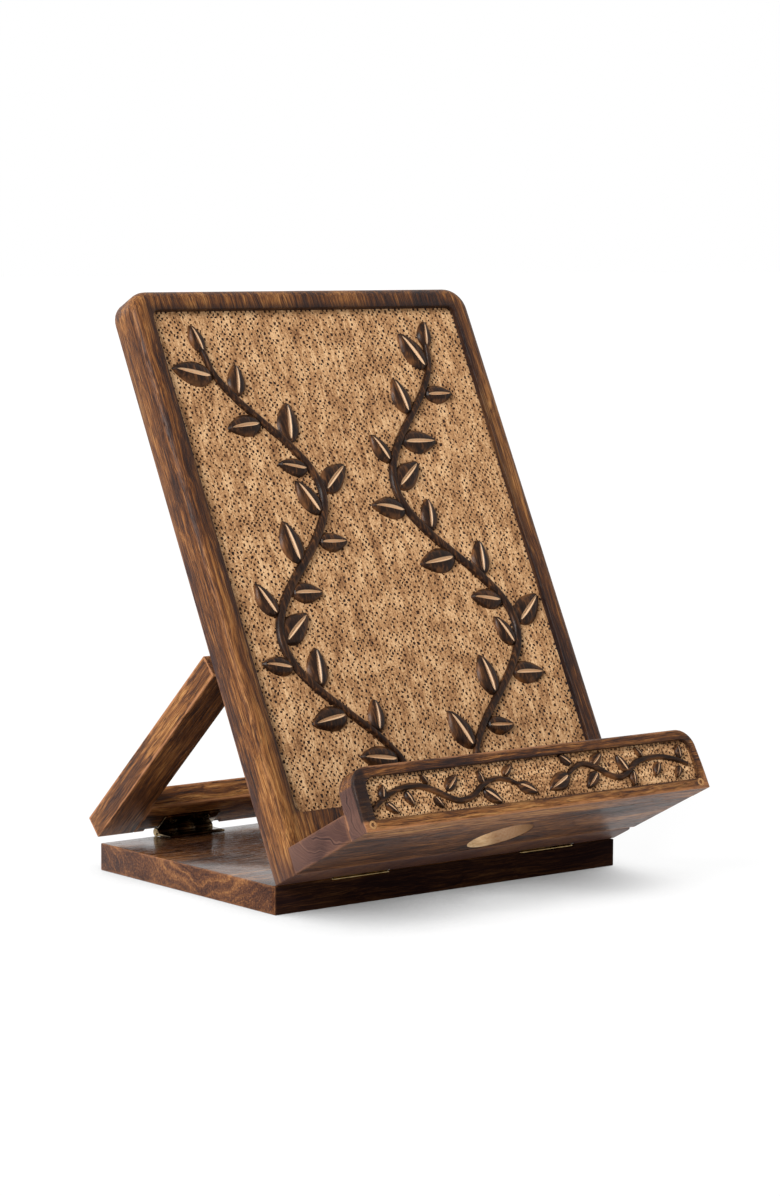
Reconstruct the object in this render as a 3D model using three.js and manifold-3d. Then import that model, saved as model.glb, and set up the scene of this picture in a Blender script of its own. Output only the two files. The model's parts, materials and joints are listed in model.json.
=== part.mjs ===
// Folding wooden tablet stand: a base board, a carved back panel with a ledge and lip,
// and a framed leg that props the panel from behind. Millimetres, +Z up, +Y to the back.
// The origin is the centre of the base board's underside.
import * as THREE from 'three';
import { mergeVertices } from 'three/addons/utils/BufferGeometryUtils.js';
import Module from 'manifold-3d';

const wasm = await Module();
wasm.setup();

// Driving dimensions: boards.
const WIDTH = 188;
const BASE_DEPTH = 128;
const BASE_THICK = 12;
const PANEL_HEIGHT = 265;
const PANEL_THICK = 15;
const PANEL_CORNER = 11;
const PANEL_RIM = 10;
const PANEL_FIELD_FOOT = 24;
const PANEL_FIELD_DEPTH = 3;
const LEDGE_THICK = 11.5;
const LEDGE_REACH = 41.5;
const CABLE_HOLE_RADIUS = 14.5;
const CABLE_HOLE_X = 3;
const CABLE_HOLE_REACH = 17;
const LIP_HEIGHT = 27.5;
const LIP_THICK = 11.5;
const LIP_CORNER = 9;
const LIP_RIM = 4.6;
const LIP_SIDE_RIM = 6;
const LIP_FIELD_DEPTH = 2.5;
const LEG_LENGTH = 118.4;
const LEG_THICK = 10.5;
const LEG_STILE = 19;

// Driving dimensions: angles, from the table up.
const PANEL_ANGLE = 63;
const LEG_ANGLE = 43;

// Driving dimensions: hinges, screws, dowels and gaps.
const GAP = 0.3;
const HINGE_CENTRES = [-49, 54.5];
const HINGE_LENGTH = 30;
const KNUCKLES = 3;
const BARREL_RADIUS = 2;
const PIN_RADIUS = 0.9;
const LEAF_THICK = 1.1;
const LEAF_REACH = 11;
const LEAF_LIFT = 0.2;
const AXIS_RISE = 1.5;
const LEG_FOOT_RISE = 2.2;
const PANEL_FOOT_RISE = 0.35;
const NOTCH_DEPTH = 0.9;
const LEG_NOTCH_LENGTH = 41;
const SCREW_SPACING = 18;
const SCREW_REACH = 7.2;
const SCREW_LENGTH = 7.5;
const SCREW_HEAD_RADIUS = 1.9;
const SCREW_SHANK_RADIUS = 1;
const SCREW_SINK = 0.9;
const LEDGE_DOWEL_X = [-70, -28, 34, 70];
const LEDGE_DOWEL_RADIUS = 3;
const LEDGE_DOWEL_LENGTH = 28;
const LEDGE_DOWEL_IN_PANEL = 9.5;
const LEG_DOWEL_RADIUS = 2.5;
const LEG_DOWEL_LENGTH = 16;
const PLUG_X = 90;
const PLUG_RISE = 2.8;
const PLUG_RADIUS = 1.8;
const PLUG_LENGTH = 26;

// Places that follow from the driving dimensions.
const halfWidth = WIDTH / 2;
const lean = THREE.MathUtils.degToRad(90 - PANEL_ANGLE);
const legTilt = THREE.MathUtils.degToRad(LEG_ANGLE);
const axisHeight = BASE_THICK + AXIS_RISE;
const panelFoot = (AXIS_RISE * (1 + Math.sin(lean)) - PANEL_FOOT_RISE) / Math.cos(lean);
const legFoot = (AXIS_RISE * (1 + Math.cos(legTilt)) - LEG_FOOT_RISE) / Math.sin(legTilt);
const frontAxisY = -BASE_DEPTH / 2 + AXIS_RISE * Math.cos(lean) + panelFoot * Math.sin(lean);
const rearAxisY = BASE_DEPTH / 2 + GAP + legFoot;
const barrelRoom = BARREL_RADIUS + GAP;

const WOOD = { color: 0x5a2f17, roughness: 0.42, metalness: 0 };
const CARVED_WOOD = { color: 0x8a5a30, roughness: 0.5, metalness: 0 };
const DOWEL_WOOD = { color: 0xc08a4c, roughness: 0.6, metalness: 0 };
const BRASS = { color: 0xa9823e, roughness: 0.35, metalness: 0.9 };

function toSolid(geometry) {
  const bare = geometry.clone();
  bare.deleteAttribute('normal');
  bare.deleteAttribute('uv');
  const merged = mergeVertices(bare, 1e-4);
  const vertProperties = new Float32Array(merged.attributes.position.array);
  const triVerts = new Uint32Array(merged.index.array);
  return new wasm.Manifold(new wasm.Mesh({ numProp: 3, vertProperties, triVerts }));
}

function toGeometry(solid) {
  const mesh = solid.getMesh();
  const geometry = new THREE.BufferGeometry();
  geometry.setAttribute('position', new THREE.BufferAttribute(mesh.vertProperties, 3));
  geometry.setIndex(new THREE.BufferAttribute(mesh.triVerts, 1));
  geometry.computeVertexNormals();
  return geometry;
}

function cut(geometry, tools) {
  const whole = toSolid(geometry);
  return toGeometry(tools.reduce((solid, tool) => solid.subtract(toSolid(tool)), whole));
}

function join(geometries) {
  const solids = geometries.map(toSolid);
  return toGeometry(solids.reduce((sum, solid) => sum.add(solid)));
}

function block(x0, x1, y0, y1, z0, z1) {
  const geometry = new THREE.BoxGeometry(x1 - x0, y1 - y0, z1 - z0);
  return geometry.translate((x0 + x1) / 2, (y0 + y1) / 2, (z0 + z1) / 2);
}

function rod(radius, length, sides) {
  return new THREE.CylinderGeometry(radius, radius, length, sides);
}

// A cylinder along X, centred at a point.
function rodAlongX(radius, length, sides, x, y, z) {
  return rod(radius, length, sides).rotateZ(Math.PI / 2).translate(x, y, z);
}

// A cylinder along Y from y0 to y1.
function rodAlongY(radius, y0, y1, sides, x, z) {
  return rod(radius, y1 - y0, sides).translate(x, (y0 + y1) / 2, z);
}

// A flat board standing in the XZ plane with rounded corners, between two depths.
function roundedBoard(x0, x1, z0, z1, topRadius, footRadius, yFront, yBack) {
  const outline = new THREE.Shape();
  outline.moveTo(x0 + footRadius, z0);
  outline.lineTo(x1 - footRadius, z0);
  if (footRadius > 0) {
    outline.absarc(x1 - footRadius, z0 + footRadius, footRadius, -Math.PI / 2, 0, false);
  }
  outline.lineTo(x1, z1 - topRadius);
  outline.absarc(x1 - topRadius, z1 - topRadius, topRadius, 0, Math.PI / 2, false);
  outline.lineTo(x0 + topRadius, z1);
  outline.absarc(x0 + topRadius, z1 - topRadius, topRadius, Math.PI / 2, Math.PI, false);
  outline.lineTo(x0, z0 + footRadius);
  if (footRadius > 0) {
    outline.absarc(x0 + footRadius, z0 + footRadius, footRadius, Math.PI, 1.5 * Math.PI, false);
  }
  const options = { depth: yBack - yFront, bevelEnabled: false, curveSegments: 6 };
  const geometry = new THREE.ExtrudeGeometry(outline, options);
  return geometry.rotateX(Math.PI / 2).translate(0, yBack, 0);
}

// A countersunk screw pointing down, its flat head at z = 0, with room around it if asked.
function screwBody(room) {
  const head = SCREW_HEAD_RADIUS + room;
  const shank = SCREW_SHANK_RADIUS + room;
  const top = room > 0 ? 1 : 0;
  const profile = [
    new THREE.Vector2(0, -SCREW_LENGTH - room),
    new THREE.Vector2(shank, -SCREW_LENGTH + 1),
    new THREE.Vector2(shank, -SCREW_SINK - room),
    new THREE.Vector2(head, 0),
    new THREE.Vector2(head, top),
    new THREE.Vector2(0, top),
  ].filter((point, index, all) => index === 0 || !point.equals(all[index - 1]));
  return new THREE.LatheGeometry(profile, 12).rotateX(Math.PI / 2);
}

// In a hinge's own frame the pin runs along X, a leaf lies along +Y and the wood is below.
function screwPlaces() {
  return [-SCREW_SPACING / 2, SCREW_SPACING / 2].map((x) => new THREE.Vector3(x, SCREW_REACH, -LEAF_LIFT));
}

function screwsInHingeFrame(room) {
  return screwPlaces().map((place) => screwBody(room).translate(place.x, place.y, place.z));
}

function leafGeometry(ownsOuterKnuckles) {
  const low = -LEAF_LIFT - LEAF_THICK;
  const pitch = HINGE_LENGTH / KNUCKLES;
  const plate = block(-HINGE_LENGTH / 2, HINGE_LENGTH / 2, barrelRoom, LEAF_REACH, low, -LEAF_LIFT);
  const bodies = [plate];
  for (let knuckle = 0; knuckle < KNUCKLES; knuckle += 1) {
    const isOuter = knuckle % 2 === 0;
    if (isOuter === ownsOuterKnuckles) {
      const x0 = -HINGE_LENGTH / 2 + knuckle * pitch + (knuckle > 0 ? GAP / 2 : 0);
      const x1 = -HINGE_LENGTH / 2 + (knuckle + 1) * pitch - (knuckle < KNUCKLES - 1 ? GAP / 2 : 0);
      bodies.push(block(x0, x1, BARREL_RADIUS / 2, barrelRoom + 1, low, -LEAF_LIFT));
      bodies.push(rodAlongX(BARREL_RADIUS, x1 - x0, 20, (x0 + x1) / 2, 0, 0));
    }
  }
  const bore = rodAlongX(PIN_RADIUS + GAP, HINGE_LENGTH + 2, 16, 0, 0, 0);
  return cut(join(bodies), [bore, ...screwsInHingeFrame(GAP)]);
}

// Turns that lay a hinge's own frame on each board.
const ON_BASE_FRONT = new THREE.Matrix4();
const ON_BASE_REAR = new THREE.Matrix4().makeRotationZ(Math.PI);
const ON_PANEL = new THREE.Matrix4().makeBasis(
  new THREE.Vector3(-1, 0, 0),
  new THREE.Vector3(0, 0, 1),
  new THREE.Vector3(0, 1, 0),
);
const ON_LEG = new THREE.Matrix4().makeRotationX(Math.PI / 2);

function placed(geometry, turn, x, y, z) {
  return geometry.clone().applyMatrix4(turn).translate(x, y, z);
}

function screwHoles(turn, y, z) {
  return HINGE_CENTRES.flatMap((x) =>
    screwsInHingeFrame(GAP).map((hole) => placed(hole, turn, x, y, z)));
}

function piece(name, geometry, look) {
  const mesh = new THREE.Mesh(geometry, new THREE.MeshStandardMaterial(look));
  mesh.name = name;
  return mesh;
}

function baseBoard() {
  const board = block(-halfWidth, halfWidth, -BASE_DEPTH / 2, BASE_DEPTH / 2, 0, BASE_THICK);
  const low = BASE_THICK - NOTCH_DEPTH;
  const high = BASE_THICK + 1;
  const tools = HINGE_CENTRES.flatMap((x) => {
    const x0 = x - HINGE_LENGTH / 2 - GAP;
    const x1 = x + HINGE_LENGTH / 2 + GAP;
    const front = block(x0, x1, -BASE_DEPTH / 2 - 1, frontAxisY + barrelRoom, low, high);
    const rear = block(x0, x1, rearAxisY - barrelRoom, BASE_DEPTH / 2 + 1, low, high);
    return [front, rear];
  });
  const frontHoles = screwHoles(ON_BASE_FRONT, frontAxisY, axisHeight);
  const rearHoles = screwHoles(ON_BASE_REAR, rearAxisY, axisHeight);
  return cut(board, [...tools, ...frontHoles, ...rearHoles]);
}

// The panel's own frame: the front hinge's axis is the origin, +Z runs up the panel and
// -Y is its front. The leg's own frame is alike: +Z runs along the leg from the rear axis.
const panelBack = -AXIS_RISE;
const panelFront = panelBack - PANEL_THICK;
const ledgeBack = panelFront - GAP;
const ledgeFront = panelFront - LEDGE_REACH;
const lipBack = ledgeFront - GAP;
const lipFront = ledgeFront - LIP_THICK;
const ledgeTop = -panelFoot + LEDGE_THICK;
const dowelHeight = -panelFoot + LEDGE_THICK / 2;
const plugHeight = -panelFoot + PLUG_RISE;
const panelDowelY = panelFront + LEDGE_DOWEL_IN_PANEL;

function panelBoard() {
  const top = PANEL_HEIGHT - panelFoot;
  const board = roundedBoard(
    -halfWidth, halfWidth, -panelFoot, top, PANEL_CORNER, 0, panelFront, panelBack,
  );
  const inner = halfWidth - PANEL_RIM;
  const field = roundedBoard(
    -inner, inner, PANEL_FIELD_FOOT, top - PANEL_RIM, 3, 3,
    panelFront - 1, panelFront + PANEL_FIELD_DEPTH,
  );
  const notches = HINGE_CENTRES.map((x) => block(
    x - HINGE_LENGTH / 2 - GAP, x + HINGE_LENGTH / 2 + GAP,
    panelBack - NOTCH_DEPTH, panelBack + 1, -panelFoot - 1, barrelRoom,
  ));
  const dowelHoles = LEDGE_DOWEL_X.map((x) => rodAlongY(
    LEDGE_DOWEL_RADIUS + GAP, panelFront - 1, panelDowelY + GAP, 16, x, dowelHeight,
  ));
  return cut(board, [field, ...notches, ...dowelHoles, ...screwHoles(ON_PANEL, 0, 0)]);
}

function ledgeBoard() {
  const board = block(-halfWidth, halfWidth, ledgeFront, ledgeBack, -panelFoot, ledgeTop);
  const hole = rod(CABLE_HOLE_RADIUS, LEDGE_THICK * 3, 32).rotateX(Math.PI / 2);
  hole.translate(CABLE_HOLE_X, panelFront - CABLE_HOLE_REACH, 0);
  const dowelEnd = panelDowelY - LEDGE_DOWEL_LENGTH - GAP;
  const dowelHoles = LEDGE_DOWEL_X.map((x) => rodAlongY(
    LEDGE_DOWEL_RADIUS + GAP, dowelEnd, ledgeBack + 1, 16, x, dowelHeight,
  ));
  const plugHoles = [-PLUG_X, PLUG_X].map((x) => rodAlongY(
    PLUG_RADIUS + GAP, ledgeFront - 1, lipFront + PLUG_LENGTH + GAP, 16, x, plugHeight,
  ));
  return cut(board, [hole, ...dowelHoles, ...plugHoles]);
}

function frontLip() {
  const foot = -panelFoot;
  const top = foot + LIP_HEIGHT;
  const board = roundedBoard(
    -halfWidth, halfWidth, foot, top, LIP_CORNER, 0, lipFront, lipBack,
  );
  const inner = halfWidth - LIP_SIDE_RIM;
  const field = roundedBoard(
    -inner, inner, foot + LIP_RIM, top - LIP_RIM, 5, 1.5,
    lipFront - 1, lipFront + LIP_FIELD_DEPTH,
  );
  const plugHoles = [-PLUG_X, PLUG_X].map((x) => rodAlongY(
    PLUG_RADIUS + GAP, lipFront - 1, lipBack + 1, 16, x, plugHeight,
  ));
  return cut(board, [field, ...plugHoles]);
}

function panelGroup() {
  const group = new THREE.Group();
  group.rotation.x = -lean;
  group.position.set(0, frontAxisY, axisHeight);
  group.add(piece('panel_board', panelBoard(), WOOD));
  group.add(piece('ledge_board', ledgeBoard(), WOOD));
  group.add(piece('front_lip', frontLip(), CARVED_WOOD));
  LEDGE_DOWEL_X.forEach((x, index) => {
    const dowel = rodAlongY(
      LEDGE_DOWEL_RADIUS, panelDowelY - LEDGE_DOWEL_LENGTH, panelDowelY, 16, x, dowelHeight,
    );
    group.add(piece(`ledge_dowel_${index + 1}`, dowel, DOWEL_WOOD));
  });
  for (const x of [-PLUG_X, PLUG_X]) {
    const plug = rodAlongY(PLUG_RADIUS, lipFront, lipFront + PLUG_LENGTH, 16, x, plugHeight);
    group.add(piece(`lip_dowel_${sideName(x)}`, plug, DOWEL_WOOD));
  }
  group.add(...leafWithScrews('front', 'panel', false, ON_PANEL, 0, 0));
  return group;
}

function legStile(side) {
  const inner = halfWidth - LEG_STILE;
  const x0 = side < 0 ? -halfWidth : inner;
  const foot = -legFoot;
  const stile = block(x0, x0 + LEG_STILE, AXIS_RISE, AXIS_RISE + LEG_THICK, foot, foot + LEG_LENGTH);
  return cut(stile, legDowels(GAP).filter((rodHole, index) => (index % 2 === 0) === side < 0));
}

function legRail(z0, tools) {
  const inner = halfWidth - LEG_STILE - GAP;
  const rail = block(-inner, inner, AXIS_RISE, AXIS_RISE + LEG_THICK, z0, z0 + LEG_STILE);
  return cut(rail, tools);
}

// Four dowels, one in each corner joint of the leg, with room around them if asked.
function legDowels(room) {
  const y = AXIS_RISE + LEG_THICK / 2;
  const joint = halfWidth - LEG_STILE - GAP / 2;
  const length = LEG_DOWEL_LENGTH + 2 * room;
  const heights = [LEG_STILE / 2 - legFoot, LEG_LENGTH - LEG_STILE / 2 - legFoot];
  return heights.flatMap((z) => [-joint, joint].map((x) =>
    rodAlongX(LEG_DOWEL_RADIUS + room, length, 16, x, y, z)));
}

function legGroup() {
  const group = new THREE.Group();
  group.rotation.x = Math.PI / 2 - legTilt;
  group.position.set(0, rearAxisY, axisHeight);
  const holes = legDowels(GAP);
  const notches = HINGE_CENTRES.map((x) => block(
    x - LEG_NOTCH_LENGTH / 2, x + LEG_NOTCH_LENGTH / 2,
    AXIS_RISE - 1, AXIS_RISE + NOTCH_DEPTH, -legFoot - 1, barrelRoom,
  ));
  const footTools = [...notches, ...holes.slice(0, 2), ...screwHoles(ON_LEG, 0, 0)];
  const topZ = LEG_LENGTH - LEG_STILE - legFoot;
  group.add(piece('leg_left_stile', legStile(-1), WOOD));
  group.add(piece('leg_right_stile', legStile(1), WOOD));
  group.add(piece('leg_foot_rail', legRail(-legFoot, footTools), WOOD));
  group.add(piece('leg_top_rail', legRail(topZ, holes.slice(2)), WOOD));
  const corners = ['foot_left', 'foot_right', 'top_left', 'top_right'];
  legDowels(0).forEach((dowel, index) => {
    group.add(piece(`leg_dowel_${corners[index]}`, dowel, DOWEL_WOOD));
  });
  group.add(...leafWithScrews('rear', 'leg', false, ON_LEG, 0, 0));
  return group;
}

function sideName(x) {
  return x < 0 ? 'left' : 'right';
}

// Both hinges of a row: for each, the leaf on one board and the two screws that hold it.
function leafWithScrews(row, board, ownsOuterKnuckles, turn, y, z) {
  return HINGE_CENTRES.flatMap((x) => {
    const hinge = `${row}_hinge_${sideName(x)}`;
    const leaf = placed(leafGeometry(ownsOuterKnuckles), turn, x, y, z);
    const screws = screwsInHingeFrame(0).map((screw, index) =>
      piece(`${hinge}_${board}_screw_${index + 1}`, placed(screw, turn, x, y, z), BRASS));
    return [piece(`${hinge}_${board}_leaf`, leaf, BRASS), ...screws];
  });
}

function baseGroup() {
  const group = new THREE.Group();
  group.add(piece('base_board', baseBoard(), WOOD));
  const rows = [
    { name: 'front', y: frontAxisY, turn: ON_BASE_FRONT },
    { name: 'rear', y: rearAxisY, turn: ON_BASE_REAR },
  ];
  for (const row of rows) {
    group.add(...leafWithScrews(row.name, 'base', true, row.turn, row.y, axisHeight));
    for (const x of HINGE_CENTRES) {
      const pin = rodAlongX(PIN_RADIUS, HINGE_LENGTH, 12, x, row.y, axisHeight);
      group.add(piece(`${row.name}_hinge_${sideName(x)}_pin`, pin, BRASS));
    }
  }
  return group;
}

const stand = new THREE.Group();
stand.add(baseGroup());
stand.add(panelGroup());
stand.add(legGroup());

export default stand;
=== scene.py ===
import json
import math
import random

import bmesh
import bpy
from mathutils import Matrix, Vector, noise
from mathutils.kdtree import KDTree


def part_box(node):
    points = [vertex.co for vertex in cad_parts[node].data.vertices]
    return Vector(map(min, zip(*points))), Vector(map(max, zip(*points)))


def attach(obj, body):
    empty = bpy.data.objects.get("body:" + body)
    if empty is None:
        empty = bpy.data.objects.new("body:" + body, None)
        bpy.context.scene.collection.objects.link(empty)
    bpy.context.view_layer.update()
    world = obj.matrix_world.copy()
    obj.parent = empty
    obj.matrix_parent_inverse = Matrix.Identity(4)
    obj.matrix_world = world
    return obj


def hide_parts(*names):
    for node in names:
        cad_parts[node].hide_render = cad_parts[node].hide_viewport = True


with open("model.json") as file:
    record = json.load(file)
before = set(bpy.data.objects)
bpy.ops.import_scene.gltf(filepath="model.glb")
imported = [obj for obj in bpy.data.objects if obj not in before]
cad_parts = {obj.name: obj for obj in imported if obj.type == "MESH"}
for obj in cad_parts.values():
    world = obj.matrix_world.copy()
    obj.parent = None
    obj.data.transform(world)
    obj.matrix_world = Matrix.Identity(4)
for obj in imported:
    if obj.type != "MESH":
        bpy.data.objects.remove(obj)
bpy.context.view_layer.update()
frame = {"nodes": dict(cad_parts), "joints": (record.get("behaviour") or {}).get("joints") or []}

# ---------------------------------------------------------------- camera
# A long lens about a metre and a half away, to the left of the stand and a little above it,
# turned down by six degrees and hardly rolled.
eye = bpy.data.cameras.new("eye")
eye.sensor_fit = "VERTICAL"
eye.sensor_height = 36.0
eye.lens = 104.93
eye.clip_end = 60.0
camera = bpy.data.objects.new("camera", eye)
camera.matrix_world = (
    Matrix.Translation((-0.94262, -1.19433, 0.28344))
    @ Matrix.Rotation(math.radians(-38.78), 4, "Z")
    @ Matrix.Rotation(math.radians(90 - 6.127), 4, "X")
    @ Matrix.Rotation(math.radians(0.325), 4, "Z")
)
bpy.context.scene.collection.objects.link(camera)
bpy.context.scene.camera = camera
bpy.context.scene.view_settings.view_transform = "Standard"

# ---------------------------------------------------------------- floor and light
# A white floor that glows like a light table under a white surround, its glow dimmed by ambient
# occlusion where the stand overhangs it, a painted shadow. A broad sun stands high on the left, and
# a soft lamp behind lights the leg.
FLOOR_REACH = 14
SHADOW_REACH = 0.05
SURROUND_ON_MATT = 0.38

floor_mesh = bmesh.new()
bmesh.ops.create_grid(floor_mesh, x_segments=1, y_segments=1, size=FLOOR_REACH)
floor_data = bpy.data.meshes.new("floor")
floor_mesh.to_mesh(floor_data)
floor_mesh.free()
floor = bpy.data.objects.new("floor", floor_data)
bpy.context.scene.collection.objects.link(floor)
paper = bpy.data.materials.new("white_floor")
paper.use_nodes = True
card = paper.node_tree.nodes["Principled BSDF"]
card.inputs["Base Color"].default_value = (0.09, 0.09, 0.09, 1)
card.inputs["Roughness"].default_value = 0.9
card.inputs["Specular IOR Level"].default_value = 0.05
card.inputs["Emission Color"].default_value = (1, 1, 1, 1)
# Painted shadow: ambient occlusion dims the floor's glow under and beside the stand.
painted_floor_shadow = paper.node_tree.nodes.new("ShaderNodeAmbientOcclusion")
painted_floor_shadow.samples = 3
painted_floor_shadow.inputs["Distance"].default_value = SHADOW_REACH
glow = paper.node_tree.nodes.new("ShaderNodeMapRange")
for limit, value in (("From Min", 0.10), ("From Max", 0.50), ("To Min", 0.02), ("To Max", 0.93)):
    glow.inputs[limit].default_value = value
paper.node_tree.links.new(painted_floor_shadow.outputs["AO"], glow.inputs["Value"])
paper.node_tree.links.new(glow.outputs[0], card.inputs["Emission Strength"])
floor_data.materials.append(paper)

surround = bpy.data.worlds.new("white_surround")
surround.use_nodes = True
sky = surround.node_tree.nodes["Background"]
sky.inputs["Color"].default_value = (1, 1, 1, 1)
ray = surround.node_tree.nodes.new("ShaderNodeLightPath")
dimmed = surround.node_tree.nodes.new("ShaderNodeMapRange")
dimmed.inputs["To Min"].default_value = 1.0
dimmed.inputs["To Max"].default_value = SURROUND_ON_MATT
surround.node_tree.links.new(ray.outputs["Is Diffuse Ray"], dimmed.inputs["Value"])
surround.node_tree.links.new(dimmed.outputs[0], sky.inputs["Strength"])
bpy.context.scene.world = surround

sunlight = bpy.data.lights.new("sun", "SUN")
sunlight.energy = 3.6
sunlight.angle = math.radians(24)
sun = bpy.data.objects.new("sun", sunlight)
sun.matrix_world = Vector((-0.80, -0.22, 0.57)).to_track_quat("Z", "Y").to_matrix().to_4x4()
bpy.context.scene.collection.objects.link(sun)

softbox = bpy.data.lights.new("back", "AREA")
softbox.shape = "SQUARE"
softbox.size = 0.7
softbox.energy = 9
lamp = bpy.data.objects.new("back", softbox)
lamp_place = Vector((-0.9, 1.5, 1.0))
lamp_aim = (Vector((0, 0.05, 0.05)) - lamp_place).to_track_quat("-Z", "Y")
lamp.matrix_world = Matrix.Translation(lamp_place) @ lamp_aim.to_matrix().to_4x4()
bpy.context.scene.collection.objects.link(lamp)

# ---------------------------------------------------------------- base board
# One solid board of dark-stained, waxed hardwood that lies flat, its grain from side to side.
# Its ends show speckled end grain, and its edges are rubbed back to bare wood by handling.
MM = 0.001
EASED_EDGE = 0.00042
NOTCH_DEPTH = 0.0009
NOTCH_SLACK = 0.0003
HINGE_LENGTH = 0.030
BARREL_ROOM = 0.0023
HINGE_CENTRES = (-0.049, 0.0545)
front_axis = Vector(next(j for j in frame["joints"] if j["name"] == "panel_hinge")["pos_m"])
rear_axis = Vector(next(j for j in frame["joints"] if j["name"] == "leg_hinge")["pos_m"])


class Finish:
    """A material under way: most calls add a node and give back what comes out of it."""

    def __init__(self, name):
        self.material = bpy.data.materials.new(name)
        self.material.use_nodes = True
        self.tree = self.material.node_tree
        self.shader = self.tree.nodes["Principled BSDF"]

    def node(self, kind, inputs, output=0, **settings):
        made = self.tree.nodes.new("ShaderNode" + kind)
        for key, value in settings.items():
            setattr(made, key, value)
        for key, value in inputs.items():
            self.feed(made.inputs[key], value)
        return made.outputs[output]

    def object_place(self):
        """Where a point lies in the stand's frame, in millimetres."""
        return self.vector("MULTIPLY", self.node("TexCoord", {}, "Object"), (1 / MM,) * 3)

    def board_place(self, centre, turn):
        """Where a point lies in a board's own frame, in millimetres."""
        wanted = {"Vector": self.node("TexCoord", {}, "Object"), "Location": centre,
                  "Rotation": turn, "Scale": (MM,) * 3}
        return self.node("Mapping", wanted, vector_type="TEXTURE")

    def feed(self, socket, value):
        if isinstance(value, bpy.types.NodeSocket):
            self.tree.links.new(value, socket)
        else:
            socket.default_value = value

    def sum(self, *terms):
        total = terms[0]
        for term in terms[1:]:
            total = self.node("Math", {0: total, 1: term}, operation="ADD")
        return total

    def calc(self, operation, first, second=0.0):
        return self.node("Math", {0: first, 1: second}, operation=operation)

    def vector(self, operation, first, second=(0, 0, 0), output=0):
        return self.node("VectorMath", {0: first, 1: second}, output, operation=operation)

    def grain(self, place, stretch, detail, rough=0.5):
        stretched = self.vector("MULTIPLY", place, stretch)
        wanted = {"Vector": stretched, "Scale": 1.0, "Detail": detail, "Roughness": rough}
        return self.node("TexNoise", wanted)

    def spread(self, value, low, high, to_low=0.0, to_high=1.0):
        wanted = {"Value": value, "From Min": low, "From Max": high,
                  "To Min": to_low, "To Max": to_high}
        return self.node("MapRange", wanted, interpolation_type="SMOOTHSTEP")

    def ramp(self, value, stops):
        made = self.tree.nodes.new("ShaderNodeValToRGB")
        band = made.color_ramp.elements
        for index, (at, colour) in enumerate(stops):
            stop = band[index] if index < 2 else band.new(at)
            stop.position = at
            stop.color = (*colour, 1)
        self.tree.links.new(value, made.inputs[0])
        return made.outputs[0]

    def mix(self, share, first, second):
        return self.node("Mix", {0: share, 6: first, 7: second}, 2, data_type="RGBA")

    def split(self, vector):
        made = self.tree.nodes.new("ShaderNodeSeparateXYZ")
        self.tree.links.new(vector, made.inputs[0])
        return made.outputs

    def attribute(self, name):
        return self.node("Attribute", {}, "Fac", attribute_name=name)

    def bump(self, height, depth, strength=1.0):
        wanted = {"Height": height, "Distance": depth, "Strength": strength}
        self.tree.links.new(self.node("Bump", wanted), self.shader.inputs["Normal"])

    def set(self, **values):
        for key, value in values.items():
            self.feed(self.shader.inputs[key.replace("_", " ")], value)


CHAR_AND_SHADE_BLACK = (0.010, 0.005, 0.005)
DARK = (0.034, 0.014, 0.009)
BROWN = (0.110, 0.039, 0.013)
ORANGE = (0.255, 0.101, 0.030)
GOLD = (0.43, 0.212, 0.070)
RUBBED = (0.40, 0.175, 0.075)
PLUM = (0.052, 0.024, 0.021)


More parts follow.
